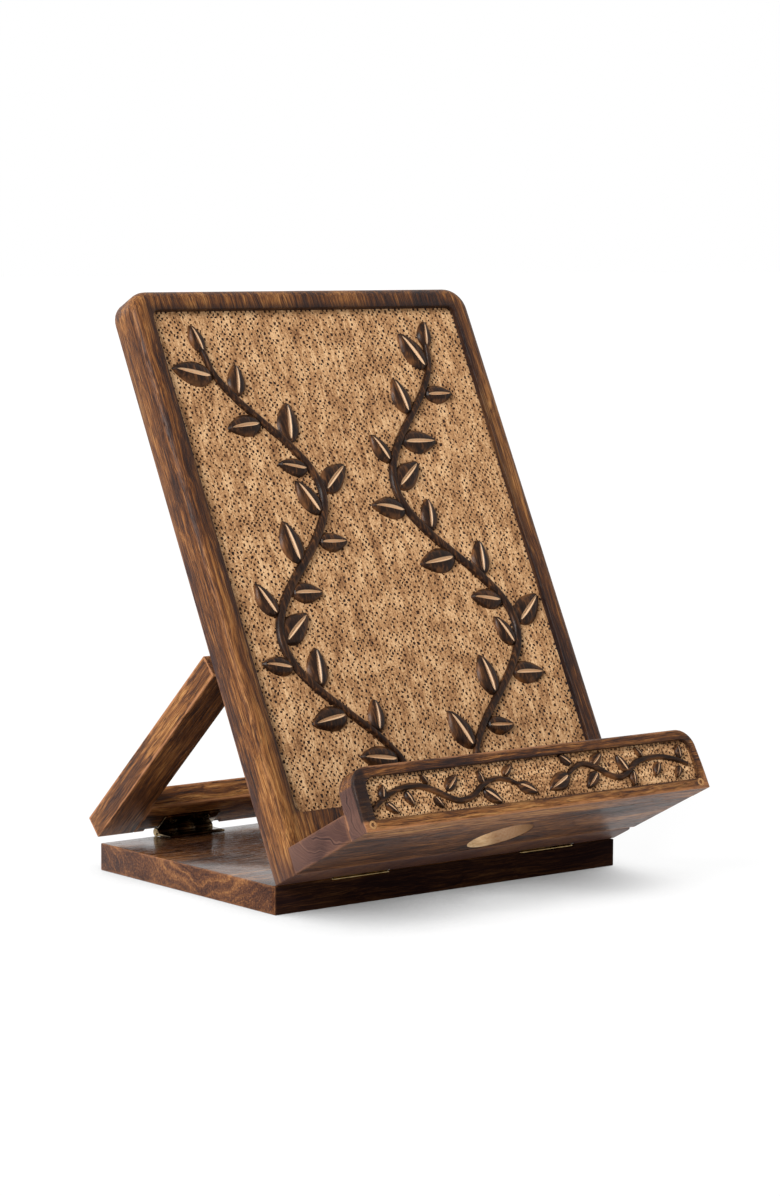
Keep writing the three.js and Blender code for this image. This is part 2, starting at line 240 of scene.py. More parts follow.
def stained_wood(name, centre, turn, half, seed, light=0.0, corner=0.5, rubbed=1.0, burns_and_shade=(),
                 field=None, plum=0.3, sheen=0.30, gloss=0.14, lacquer=0.0, pith=(30.0, -46.0)):
    """Wood in a board's own millimetres: x runs along the grain, z through its thickness."""
    wood = Finish(name)
    local = wood.board_place(centre, turn)
    place = wood.vector("ADD", local, (seed * 173.0, seed * 61.0, seed * 97.0))

    sway = wood.node("TexNoise", {"Vector": wood.vector("MULTIPLY", place, (0.022, 0.06, 0.06)),
                                  "Scale": 1.0, "Detail": 2.0}, "Color")
    sway = wood.vector("SUBTRACT", sway, (0.5, 0.5, 0.5))
    drift = wood.vector("MULTIPLY", sway, (0, 16, 16))
    heart = wood.vector("ADD", wood.vector("MULTIPLY", local, (0.05, 1, 1)), (0, *pith))
    reach = wood.vector("LENGTH", wood.vector("ADD", heart, drift), output="Value")
    rings = wood.node("TexNoise", {"W": reach, "Scale": 0.34, "Detail": 3.0, "Roughness": 0.6},
                      noise_dimensions="1D")
    place = wood.vector("ADD", place, wood.vector("MULTIPLY", sway, (0, 4.5, 4.5)))
    cloud = wood.grain(place, (0.012, 0.045, 0.045), 2.0)
    streak = wood.grain(place, (0.026, 0.95, 0.95), 4.0, 0.68)
    thread = wood.grain(place, (0.085, 3.0, 3.0), 3.0, 0.7)
    pores = wood.spread(wood.grain(place, (0.16, 3.6, 3.6), 1.0), 0.56, 0.70)

    tone = wood.sum(
        wood.calc("MULTIPLY", rings, 0.75),
        wood.calc("MULTIPLY", cloud, 1.3),
        wood.calc("MULTIPLY", streak, 1.45),
        wood.calc("MULTIPLY", thread, 1.45),
        light - 2.045,
    )
    colour = wood.ramp(tone, [(0.0, CHAR_AND_SHADE_BLACK), (0.22, DARK), (0.48, BROWN), (0.72, ORANGE),
                              (1.0, GOLD)])
    colour = wood.mix(wood.calc("MULTIPLY", pores, 0.62), colour, (*CHAR_AND_SHADE_BLACK, 1))

    # How far a point lies from the board's nearest edge, with rounded corners taken in.
    size = wood.vector("ABSOLUTE", local)
    inward = wood.vector("SUBTRACT", half, size)
    from_end, from_side, from_face = wood.split(inward)
    far_x = wood.calc("MAXIMUM", wood.calc("SUBTRACT", corner, from_end), 0.0)
    far_y = wood.calc("MAXIMUM", wood.calc("SUBTRACT", corner, from_side), 0.0)
    bow = wood.calc("SQRT", wood.sum(wood.calc("MULTIPLY", far_x, far_x),
                                     wood.calc("MULTIPLY", far_y, far_y)))
    yearly = wood.node("TexNoise", {"W": reach, "Scale": 1.8, "Detail": 3.0, "Roughness": 0.7},
                       noise_dimensions="1D")
    end_tone = wood.sum(wood.calc("MULTIPLY", yearly, 0.9), wood.calc("MULTIPLY", cloud, 0.7),
                        wood.calc("MULTIPLY", thread, 0.5), -0.55)
    end_grain = wood.ramp(end_tone, [(0.25, (0.022, 0.010, 0.009)), (0.5, (0.092, 0.042, 0.032)),
                                     (0.82, (0.19, 0.095, 0.060))])
    on_end = wood.spread(from_end, 0.05, 0.35, plum, 0.0)
    colour = wood.mix(on_end, colour, end_grain)

    flat = wood.calc("MINIMUM", from_end, from_side)
    deeper = wood.calc("MAXIMUM", wood.calc("SUBTRACT", flat, corner), 0.0)
    plan = wood.sum(wood.calc("SUBTRACT", corner, bow), deeper)
    rim = wood.calc("MAXIMUM", plan, from_face)
    post = wood.calc("MAXIMUM", from_end, from_side)
    post = wood.calc("ADD", post, 0.0 if corner < 2 else 4.0)
    edge = wood.calc("MINIMUM", rim, post)
    patchy = wood.grain(place, (0.05, 0.10, 0.10), 3.0, 0.65)
    width = wood.spread(patchy, 0.36, 0.66, 0.25, 1.9)
    wear = wood.spread(wood.calc("DIVIDE", edge, width), 0.35, 1.0, rubbed, 0.0)
    wear = wood.calc("MULTIPLY", wear, wood.spread(thread, 0.30, 0.62, 0.55, 1.0))
    colour = wood.mix(wear, colour, (*RUBBED, 1))
    along = wood.split(local)

    # A lacquered board is glossy on its top, all but the strip under the next board's foot.
    shine = gloss
    if lacquer:
        top = wood.calc("MULTIPLY", wood.spread(along[2], half[2] - 0.5, half[2] - 0.1),
                        wood.spread(plan, 0.3, 1.2, 0.0, lacquer))
        past_foot = wood.spread(along[1], 2.0 - half[1], 3.5 - half[1])
        shine = wood.calc("MULTIPLY", wood.calc("ADD", top, gloss), past_foot)

    # Each entry darkens the board from one end of an axis. Some are scorched ends; the base's dark
    # front face is painted shade under the ledge, on darker wood. A charred end keeps to the face.
    for axis, full, gone, most, ragged, char_and_shade_colour in burns_and_shade:
        frayed = wood.sum(along[axis], wood.calc("MULTIPLY", patchy, ragged), -ragged / 2)
        scorch_and_shade = wood.calc("MULTIPLY", wood.spread(frayed, full, gone, most, 0.0),
                           wood.spread(streak, 0.30, 0.62, 1.0, 0.90))
        if char_and_shade_colour == CHAR_AND_SHADE_BLACK and axis == 0:
            face = wood.spread(along[2], half[2] - 2.4, half[2] - 1.4)
            above = wood.spread(along[1], 3.6 - half[1], 5.2 - half[1])
            scorch_and_shade = wood.calc("MULTIPLY", scorch_and_shade, wood.calc("MULTIPLY", face, above))
        colour = wood.mix(scorch_and_shade, colour, (*char_and_shade_colour, 1))
    # Round the field the rim and the recess walls are darkened: burnt-looking wood, with painted
    # shade down into the recess.
    if field:
        middle, side, reach_out, most, depth = field
        off_x = wood.calc("ABSOLUTE", wood.calc("SUBTRACT", along[0], middle[0]))
        off_y = wood.calc("ABSOLUTE", wood.calc("SUBTRACT", along[1], middle[1]))
        outside = wood.calc("MAXIMUM", wood.calc("SUBTRACT", off_x, side[0]),
                            wood.calc("SUBTRACT", off_y, side[1]))
        frayed = wood.sum(outside, wood.calc("MULTIPLY", streak, 2.4), -1.2)
        scorch_and_shade = wood.calc("MULTIPLY", wood.spread(frayed, -0.5, reach_out, most, 0.0),
                           wood.spread(along[2], half[2] - depth - 0.4, half[2] - depth))
        colour = wood.mix(scorch_and_shade, colour, (*CHAR_AND_SHADE_BLACK, 1))

    wood.set(Base_Color=colour, Specular_IOR_Level=shine,
             Roughness=wood.sum(wood.calc("MULTIPLY", streak, 0.25), sheen,
                                wood.calc("MULTIPLY", pores, 0.2)))
    height = wood.sum(wood.calc("MULTIPLY", pores, -0.8), wood.calc("MULTIPLY", thread, 0.5),
                      wood.calc("MULTIPLY", streak, 0.5))
    wood.bump(height, 0.00018, 0.2 if lacquer else 0.7)
    return wood.material


def box_mesh(low, high):
    """A plain block between two opposite corners."""
    mesh = bmesh.new()
    bmesh.ops.create_cube(mesh, size=1)
    bmesh.ops.scale(mesh, vec=Vector(high) - Vector(low), verts=mesh.verts)
    bmesh.ops.translate(mesh, vec=(Vector(high) + Vector(low)) / 2, verts=mesh.verts)
    return mesh


def put(name, mesh, turn=None):
    """Makes an object of a bmesh, with its place in its mesh."""
    if turn is not None:
        mesh.transform(turn)
    data = bpy.data.meshes.new(name)
    mesh.to_mesh(data)
    mesh.free()
    made = bpy.data.objects.new(name, data)
    bpy.context.scene.collection.objects.link(made)
    return made


def cut_away(mesh, tools):
    """Cuts each tool's shape out of a bmesh, as a chisel or drill would."""
    board = put("board", mesh)
    cutters = [put("cutter", tool) for tool in tools]
    for cutter in cutters:
        cutting = board.modifiers.new("cut", "BOOLEAN")
        cutting.object = cutter
        cutting.solver = "EXACT"
    seen = board.evaluated_get(bpy.context.evaluated_depsgraph_get())
    result = bmesh.new()
    result.from_mesh(seen.to_mesh())
    seen.to_mesh_clear()
    for spare in [board, *cutters]:
        bpy.data.objects.remove(spare)
    bmesh.ops.remove_doubles(result, verts=result.verts, dist=1e-6)
    return result


def round_edges(mesh, edges, radius, segments):
    bmesh.ops.bevel(mesh, geom=edges, offset=radius, segments=segments, profile=0.5,
                    affect="EDGES", material=-1, clamp_overlap=True)


def ease(mesh, radius=EASED_EDGE):
    """Takes the sharpness off every edge of a board."""
    sharp = [e for e in mesh.edges
             if len(e.link_faces) == 2 and e.calc_face_angle(0) > math.radians(40)]
    round_edges(mesh, sharp, radius, 3)


def finished(name, mesh, material, turn=None, angle=35):
    """Makes a finished piece, its bevels smooth and its flats flat."""
    piece = put(name, mesh, turn)
    for face in piece.data.polygons:
        face.use_smooth = True
    piece.data.set_sharp_from_angle(angle=math.radians(angle))
    piece.data.materials.append(material)
    return piece


low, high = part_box("base_board")
notches = []
for centre in HINGE_CENTRES:
    reach = HINGE_LENGTH / 2 + NOTCH_SLACK
    floor_z = high.z - NOTCH_DEPTH
    notches.append(box_mesh((centre - reach, low.y - 0.01, floor_z),
                            (centre + reach, front_axis.y + BARREL_ROOM, high.z + 0.01)))
    notches.append(box_mesh((centre - reach, rear_axis.y - BARREL_ROOM, floor_z),
                            (centre + reach, high.y + 0.01, high.z + 0.01)))
base = cut_away(box_mesh(low, high), notches)
ease(base)
# The base's front face and front edges are darkened nearly black: darker wood, with painted shade
# under the ledge's overhang.
base_board = finished("base_plank", base, stained_wood(
    "base_wood", tuple((low + high) / 2), (0, 0, 0), tuple((high - low) * 500), 1, light=-0.02,
    burns_and_shade=[(1, -63.95, -63.5, 0.9, 0.2, CHAR_AND_SHADE_BLACK)], rubbed=0.25, pith=(12.0, -40.0), sheen=0.04,
    gloss=0.08, lacquer=0.7))
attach(base_board, "base")
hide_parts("base_board")

# ---------------------------------------------------------------- panel board
# The back rest: one thick board, grain upright, with well-rounded top corners and front edges.
# A wide field is cut down into its face, and it is hinged to the base along its lower back edge.
LEAN = math.radians(-27)
PANEL_CORNER = 0.011
PANEL_ROUNDING = 0.005
PANEL_RIM = 0.010
FIELD_FOOT = 0.024
FIELD_DEPTH = 0.003
AXIS_RISE = 0.0015
PANEL_FOOT_RISE = 0.00035
PANEL_HEIGHT = 0.265
PANEL_FRONT = -0.0165
PANEL_BACK = -0.0015
PANEL_FOOT = (PANEL_FOOT_RISE - AXIS_RISE - PANEL_BACK * math.sin(LEAN)) / math.cos(LEAN)
PANEL_TOP = PANEL_FOOT + PANEL_HEIGHT
HALF_WIDTH = 0.094
QUARTER_TURN = Matrix.Rotation(math.radians(90), 3, "X")
on_panel = Matrix.Translation(front_axis) @ Matrix.Rotation(LEAN, 4, "X")


def standing_board(half, foot, top, front, back, top_corner, foot_corner=0.0):
    """A board that stands on edge, its corners rounded before it is given its thickness."""
    mesh = bmesh.new()
    bmesh.ops.create_grid(mesh, x_segments=1, y_segments=1, size=0.5)
    bmesh.ops.scale(mesh, vec=(half * 2, top - foot, 1), verts=mesh.verts)
    bmesh.ops.rotate(mesh, matrix=QUARTER_TURN, verts=mesh.verts)
    middle = (top + foot) / 2
    bmesh.ops.translate(mesh, vec=(0, front, middle), verts=mesh.verts)
    for radius, upper in ((top_corner, True), (foot_corner, False)):
        if radius > 0:
            corners = [v for v in mesh.verts if (v.co.z > middle) == upper and
                       abs(abs(v.co.x) - half) < 1e-6 and
                       min(abs(v.co.z - top), abs(v.co.z - foot)) < 1e-6]
            bmesh.ops.bevel(mesh, geom=corners, offset=radius, segments=10, profile=0.5,
                            affect="VERTICES", material=-1)
    grown = bmesh.ops.extrude_face_region(mesh, geom=mesh.faces[:])
    moved = [v for v in grown["geom"] if isinstance(v, bmesh.types.BMVert)]
    bmesh.ops.translate(mesh, vec=(0, back - front, 0), verts=moved)
    bmesh.ops.recalc_face_normals(mesh, faces=mesh.faces)
    return mesh


panel = standing_board(HALF_WIDTH, PANEL_FOOT, PANEL_TOP, PANEL_FRONT, PANEL_BACK, PANEL_CORNER)


def on_front_rim(edge):
    flat = all(abs(v.co.y - PANEL_FRONT) < 1e-6 for v in edge.verts)
    return flat and max(v.co.z for v in edge.verts) > PANEL_FOOT + 0.001


round_edges(panel, [e for e in panel.edges if on_front_rim(e)], PANEL_ROUNDING, 7)
field = standing_board(HALF_WIDTH - PANEL_RIM, FIELD_FOOT, PANEL_TOP - PANEL_RIM,
                       PANEL_FRONT - 0.01, PANEL_FRONT + FIELD_DEPTH, 0.004, 0.003)
tools = [field]
for centre in HINGE_CENTRES:
    reach = HINGE_LENGTH / 2 + NOTCH_SLACK
    tools.append(box_mesh((centre - reach, PANEL_BACK - NOTCH_DEPTH, PANEL_FOOT - 0.01),
                          (centre + reach, PANEL_BACK + 0.01, BARREL_ROOM)))
panel = cut_away(panel, tools)
ease(panel)


def grain_turn(spin, *axes):
    """The turn from a board's own grain axes to the stand: each axis is given in spin's frame."""
    columns = Matrix([Vector(axis) for axis in axes]).transposed()
    return tuple((spin.to_3x3() @ columns).to_euler())


panel_middle = on_panel @ Vector((0, (PANEL_FRONT + PANEL_BACK) / 2,
                                  (PANEL_FOOT + PANEL_TOP) / 2))
panel_turn = grain_turn(on_panel, (0, 0, 1), (-1, 0, 0), (0, -1, 0))
# The panel grows darker, in plum, towards its back and towards its foot.
panel_board = finished("panel_plank", panel, stained_wood(
    "panel_wood", tuple(panel_middle), panel_turn, (132.5, 94, 7.5), 2, light=0.07,
    corner=11.0, rubbed=0.8, pith=(60.0, 38.0),
    burns_and_shade=[(2, -7.5, -2.5, 0.6, 4.0, PLUM), (0, -132.5, -116.0, 0.7, 9.0, PLUM)],
    field=((9.0, 0), (113.5, 84), 4.2, 0.8, 3.2)), on_panel)
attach(panel_board, "panel")
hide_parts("panel_board")

# ---------------------------------------------------------------- ledge board
# The shelf that carries the tablet: a board set square to the panel and dowelled to it, its
# grain from side to side. A charging cable passes through the plain round hole in its middle.
LEDGE_TOP = PANEL_FOOT + 0.0115
LEDGE_FRONT = -0.058
HOLE_RADIUS = 0.0145
LEDGE_EDGE = 0.0005
HOLE_CENTRE = Vector((0.003, -0.0335, PANEL_FOOT))
JOINT = 0.00005

hole = bmesh.new()
bmesh.ops.create_cone(hole, cap_ends=True, segments=64, radius1=HOLE_RADIUS, radius2=HOLE_RADIUS,
                      depth=0.05)
bmesh.ops.translate(hole, vec=HOLE_CENTRE, verts=hole.verts)
ledge = cut_away(box_mesh((-HALF_WIDTH, LEDGE_FRONT, PANEL_FOOT),
                          (HALF_WIDTH, PANEL_FRONT - JOINT, LEDGE_TOP)), [hole])
ease(ledge, LEDGE_EDGE)
for face in ledge.faces:
    middle = face.calc_center_median() - HOLE_CENTRE
    if abs(math.hypot(middle.x, middle.y) - HOLE_RADIUS) < 0.0003 and abs(face.normal.z) < 0.3:
        face.material_index = 1
ledge_middle = on_panel @ Vector((0, (LEDGE_FRONT + PANEL_FRONT) / 2,
                                  (PANEL_FOOT + LEDGE_TOP) / 2))
ledge_board = finished("ledge_plank", ledge, stained_wood(
    "ledge_wood", tuple(ledge_middle), grain_turn(on_panel, (1, 0, 0), (0, 1, 0), (0, 0, 1)),
    (94, 20.75, 5.75), 3, light=-0.02, rubbed=0.2, plum=1.0, pith=(33.0, -41.0), sheen=0.22,
    gloss=0.10), on_panel)

bare = Finish("bare_hole_wood")
where = bare.object_place()
fibre = bare.grain(where, (0.06, 1.6, 1.6), 3.0, 0.6)
tan = bare.ramp(fibre, [(0.3, (0.60, 0.36, 0.17)), (0.55, (0.86, 0.60, 0.34)),
                        (0.75, (0.92, 0.72, 0.46))])
# Painted shade: the hole's wall turns brown towards its right, the side away from the light.
tan = bare.mix(bare.spread(bare.split(where)[0], 2.0, 12.0, 0.0, 0.8), tan, (*BROWN, 1))
bare.set(Base_Color=tan, Roughness=0.62, Specular_IOR_Level=0.25)
bare.bump(fibre, 0.0002, 0.6)
ledge_board.data.materials.append(bare.material)
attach(ledge_board, "panel")
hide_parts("ledge_board")

# ---------------------------------------------------------------- front lip
# The rail that stops the tablet: a board on edge against the ledge's front, with rounded upper
# corners, a shallow field cut into its face, and a rim whose left end is scorched nearly black.
LIP_FRONT = -0.0695
LIP_TOP = PANEL_FOOT + 0.0275
LIP_CORNER = 0.009
LIP_SHOULDER = 0.0016
LIP_EDGE = 0.00035
LIP_RIM = 0.0046
LIP_LEFT_RIM = 0.006
LIP_RIGHT_RIM = 0.0035
LIP_FIELD_DEPTH = 0.0025
PLUG_X = 0.090
PLUG_RISE = 0.0028
PLUG_RADIUS = 0.0018
PLUG_LENGTH = 0.026
DRILL_SLACK = 0.0001

lip = standing_board(HALF_WIDTH, PANEL_FOOT, LIP_TOP, LIP_FRONT, LEDGE_FRONT - JOINT, LIP_CORNER)


def on_lip_shoulder(edge):
    flat = len({round(v.co.y, 6) for v in edge.verts}) == 1
    return flat and min(v.co.z for v in edge.verts) > PANEL_FOOT + 0.0001


round_edges(lip, [e for e in lip.edges if on_lip_shoulder(e)], LIP_SHOULDER, 5)
lip_field = standing_board(HALF_WIDTH - (LIP_LEFT_RIM + LIP_RIGHT_RIM) / 2, PANEL_FOOT + LIP_RIM,
                           LIP_TOP - LIP_RIM, LIP_FRONT - 0.01, LIP_FRONT + LIP_FIELD_DEPTH,
                           0.005, 0.0015)
bmesh.ops.translate(lip_field, vec=((LIP_LEFT_RIM - LIP_RIGHT_RIM) / 2, 0, 0),
                    verts=lip_field.verts)
plugs = []
for side in (-1, 1):
    drill = bmesh.new()
    bmesh.ops.create_cone(drill, cap_ends=True, segments=32, radius1=PLUG_RADIUS + DRILL_SLACK,
                          radius2=PLUG_RADIUS + DRILL_SLACK, depth=0.006)
    bmesh.ops.rotate(drill, matrix=QUARTER_TURN, verts=drill.verts)
    bmesh.ops.translate(drill, vec=(side * PLUG_X, LIP_FRONT, PANEL_FOOT + PLUG_RISE),
                        verts=drill.verts)
    plugs.append(drill)
lip = cut_away(lip, [lip_field, *plugs])
ease(lip, LIP_EDGE)
lip_middle = on_panel @ Vector((0, (LIP_FRONT + LEDGE_FRONT) / 2, (PANEL_FOOT + LIP_TOP) / 2))
lip_turn = grain_turn(on_panel, (1, 0, 0), (0, 0, 1), (0, -1, 0))
lip_board = finished("lip_rail", lip, stained_wood(
    "lip_wood", tuple(lip_middle), lip_turn, (94, 13.75, 5.75), 4, light=0.17, corner=9.0,
    rubbed=0.7, burns_and_shade=[(0, -89.0, -86.0, 0.97, 2.0, CHAR_AND_SHADE_BLACK)],
    field=((1.25, 0), (89.25, 9.2), 1.6, 0.75, 2.7), plum=1.0, pith=(-4.0, -70.0)), on_panel)
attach(lip_board, "panel")
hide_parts("front_lip")

# ---------------------------------------------------------------- carved vines
# Leafy stems left standing when the ground round them is cut away and pricked all over with a
# punch. The ground is bare tan wood, the stems and leaves are stained dark, each leaf slotted.
PROUD = 0.0003
MARKS = ("raised", "slot", "flank", "pit", "shade")
CLIMB_STEPS = 18
CLIMB_BENDS = 3.0
CLIMB_MIDDLE = 42
CLIMB_SWING = 24
LIP_STEMS = [
    [(-87, 8.9), (-82, 12.1), (-73.3, 16.1), (-62.4, 17.2), (-54, 14.7), (-47.2, 11), (-41.4, 8.7),
     (-34.1, 9.9), (-27.9, 13.7), (-20.9, 16), (-14.3, 15.1), (-8.4, 12.3)],
    [(18.8, 13.5), (23.5, 16.4), (29.1, 17.8), (36.6, 14.9), (41.2, 11.8), (46.3, 10.1),
     (51.9, 11.3), (57, 14.8), (62.1, 16.3), (71.2, 16.9), (80.8, 14.9), (87.1, 11.9)],
]
LIP_LEAVES = [
    (-80.3, 13.1, 6.9, 75), (-79, 11.3, 6.6, -47), (-67.8, 15, 7, -69), (-55.6, 17.6, 4.7, 119),
    (-46.2, 13.9, 9.1, 41), (-53.8, 11.4, 5.8, -60), (-26.9, 14.7, 6, 102), (-15, 16.9, 6.9, 41),
    (-27.3, 11.6, 10, -41), (-8.4, 12.3, 9.9, -29), (18.8, 13.5, 12.7, -156), (22.1, 18.3, 7, 140),
    (33.6, 16.6, 8.7, 36), (35.1, 13, 9.6, -141), (52.4, 12.4, 8.9, 118), (55, 11.6, 6.9, -101),
    (62.6, 17.8, 5.1, 122), (70.8, 14.1, 7.2, -123), (84, 15.1, 6.4, 87), (82.3, 11.2, 6, -126),
]


def along_stem(points, step):
    """Even places on a smooth line through the points, each with its direction."""
    line = []
    ends = [2 * Vector(points[0]) - Vector(points[1]), *map(Vector, points),
            2 * Vector(points[-1]) - Vector(points[-2])]
    for a, b, c, d in zip(ends, ends[1:], ends[2:], ends[3:]):
        count = max(2, round((c - b).length / step))
        for index in range(count):
            t = index / count
            line.append(0.5 * (2 * b + (c - a) * t + (2 * a - 5 * b + 4 * c - d) * t * t
                               + (3 * b - a - 3 * c + d) * t * t * t))
    line.append(Vector(points[-1]))
    ways = [(line[min(i + 1, len(line) - 1)] - line[max(i - 1, 0)]).normalized()
            for i in range(len(line))]
    return list(zip(line, ways))


def take_in(mesh, part):
    """Adds one bmesh to another and is done with it."""
    spare = bpy.data.meshes.new("spare")
    part.to_mesh(spare)
    part.free()
    mesh.from_mesh(spare)
    bpy.data.meshes.remove(spare)


def raise_strip(mesh, rows, columns, shape, marks):
    """A flat grid shaped into a raised form by shape(u, v), then closed underneath."""
    grid = bmesh.ops.create_grid(mesh, x_segments=rows, y_segments=columns, size=0.5)
    for vert in grid["verts"]:
        place, values = shape(vert.co.x + 0.5, vert.co.y * 2)
        vert.co = place
        for mark, value in zip(marks, values):
            vert[mark] = value
    rim = {e for v in grid["verts"] for e in v.link_edges if e.is_boundary}
    bmesh.ops.holes_fill(mesh, edges=list(rim), sides=0)


def carve_stem(mesh, marks, points, width, height, rough):
    """A round-backed stem that swells in the middle. Gives back the places along it."""
    line = along_stem(points, width / 2)
    last = len(line) - 1

    def shape(u, v):
        spot, way = line[round(u * last)]
        taper = 0.62 + 0.38 * math.sin(math.pi * min(1, max(0, u)) ** 0.9)
        across = Vector((-way.y, way.x)) * v * width / 2 * taper
        wobble = 1 + 0.10 * noise.noise((spot.x * 0.35, spot.y * 0.35, rough))
        lift = height * wobble * (1 - abs(v) ** 3.2) - 0.35 * (abs(v) > 0.99)
        # The third mark browns the stem's lower side in patches, partly a painted highlight.
        return (spot.x + across.x, spot.y + across.y, lift), (1.0, 0.0, max(0.0, -v) ** 1.5)

    raise_strip(mesh, last, 8, shape, marks)
    return [spot for spot, way in line]


def carve_leaf(mesh, marks, leaf, height, rough):
    """A pointed leaf with a slot cut along its middle. Gives back places along it."""
    x, y, length, angle = leaf
    way = Vector((math.cos(math.radians(angle)), math.sin(math.radians(angle))))
    side = Vector((-way.y, way.x))
    bend = 0.06 * noise.noise((x * 0.7, y * 0.7, rough)) * length

    def shape(u, v):
        steps = (-1, -0.86, -0.52, -0.20, 0, 0.20, 0.52, 0.86, 1)
        v = steps[round((v + 1) * 4)]
        wide = length * 0.32 * max(0.0, math.sin(math.pi * u ** 0.80)) ** 0.8
        out = (u * 1.10 - 0.10) * length
        spot = Vector((x, y)) + way * out + side * (v * wide + bend * math.sin(math.pi * u))
        slot = max(0.0, min(1.0, (math.sin(math.pi * u) - 0.25) * 2.6))
        lift = height * (1 - abs(v) ** 4)
        lift -= height * 0.55 * slot * (abs(v) < 0.1)
        lift *= 0.45 + 0.55 * math.sin(math.pi * min(1, max(0.02, u))) ** 0.5
        if abs(v) > 0.99 or u < 0.01 or u > 0.99:
            lift = -0.35
        pale = slot if abs(v) < 0.1 else 0.0
        return (spot.x, spot.y, lift), (1.0, pale, 0.55 * (abs(v) > 0.8))

    raise_strip(mesh, 10, 8, shape, marks)
    return [Vector((x, y)) + way * length * t for t in (0.15, 0.38, 0.6, 0.82)]


def carve_ground(mesh, marks, left, right, foot, top, cell, share, crowd, deep, seed, near, reach):
    """A pricked plate: a grid, unevenly spaced, with part of its cells punched down."""
    pit, shade = marks[3:]
    pick = random.Random(seed)
    rows = round((right - left) / cell)
    columns = round((top - foot) / cell)
    grid = bmesh.ops.create_grid(mesh, x_segments=rows, y_segments=columns, size=0.5)
    verts = grid["verts"]
    cells = {}
    for face in {f for v in verts for f in v.link_faces}:
        middle = face.calc_center_median()
        cells[int((middle.y + 0.5) * columns), int((middle.x + 0.5) * rows)] = face
    order = sorted(cells)
    pick.shuffle(order)
    punched = set()
    for row, column in order:
        beside = [(row - 1, column), (row + 1, column), (row, column - 1), (row, column + 1)]
        if len(punched.intersection(beside)) <= crowd and pick.random() < share:
            punched.add((row, column))
    chosen = [cells[place] for place in sorted(punched)]
    for vert in verts:
        free = abs(vert.co.x) < 0.499 and abs(vert.co.y) < 0.499
        shift = cell * 0.27 if free else 0.0
        x = (vert.co.x + 0.5) * (right - left) + left
        y = (vert.co.y + 0.5) * (top - foot) + foot
        if free:
            x += cell * 0.55 * noise.noise((x * 0.55 / cell, y * 0.55 / cell, seed))
            y += cell * 0.55 * noise.noise((y * 0.55 / cell, x * 0.55 / cell, seed + 7))
        x += pick.uniform(-shift, shift)
        y += pick.uniform(-shift, shift)
        rolling = 0.22 * noise.noise((x * 0.16, y * 0.16, seed)) if free else 0.0
        vert.co = (x, y, rolling)
        away = near.find((x, y, 0))[2]
        vert[shade] = max(0.0, 1.0 - away / reach)
    bmesh.ops.inset_individual(mesh, faces=chosen, thickness=cell * 0.03, use_even_offset=True)
    corners = list({v for f in chosen for v in f.verts})
    bmesh.ops.bevel(mesh, geom=corners, offset=cell * 0.21, segments=1, profile=0.5,
                    affect="VERTICES", material=-1)
    pits = [f for f in mesh.faces if len(f.verts) == 8]
    bmesh.ops.inset_individual(mesh, faces=pits, thickness=cell * 0.06, depth=-deep,
                               use_even_offset=True)
    for face in pits:
        for vert in face.verts:
            vert[pit] = 1.0
    rim = [e for e in mesh.edges if e.is_boundary]
    skirt = bmesh.ops.extrude_edge_only(mesh, edges=rim)
    dropped = [v for v in skirt["geom"] if isinstance(v, bmesh.types.BMVert)]
    bmesh.ops.translate(mesh, vec=(0, 0, -deep * 1.6), verts=dropped)
    bmesh.ops.holes_fill(mesh, edges=[e for e in mesh.edges if e.is_boundary], sides=0)


def carving(stems, leaves, left, right, foot, top, width, height, cell, share, crowd, deep, reach,
            seed):
    """The whole carved field in millimetres: x across, y up the board, z out of its face."""
    mesh = bmesh.new()
    marks = [mesh.verts.layers.float.new(mark) for mark in MARKS]
    raised = bmesh.new()
    upper = [raised.verts.layers.float.new(mark) for mark in MARKS]
    spots = []
    for stem in stems:
        spots += carve_stem(raised, upper, stem, width, height * 0.86, seed)
    for leaf in leaves:
        spots += carve_leaf(raised, upper, leaf, height, seed)
    bmesh.ops.recalc_face_normals(raised, faces=raised.faces)
    near = KDTree(len(spots))
    for index, spot in enumerate(spots):
        near.insert((*spot, 0), index)
    near.balance()
    carve_ground(mesh, marks, left, right, foot, top, cell, share, crowd, deep, seed, near, reach)
    bmesh.ops.recalc_face_normals(mesh, faces=mesh.faces)
    take_in(mesh, raised)
    return mesh


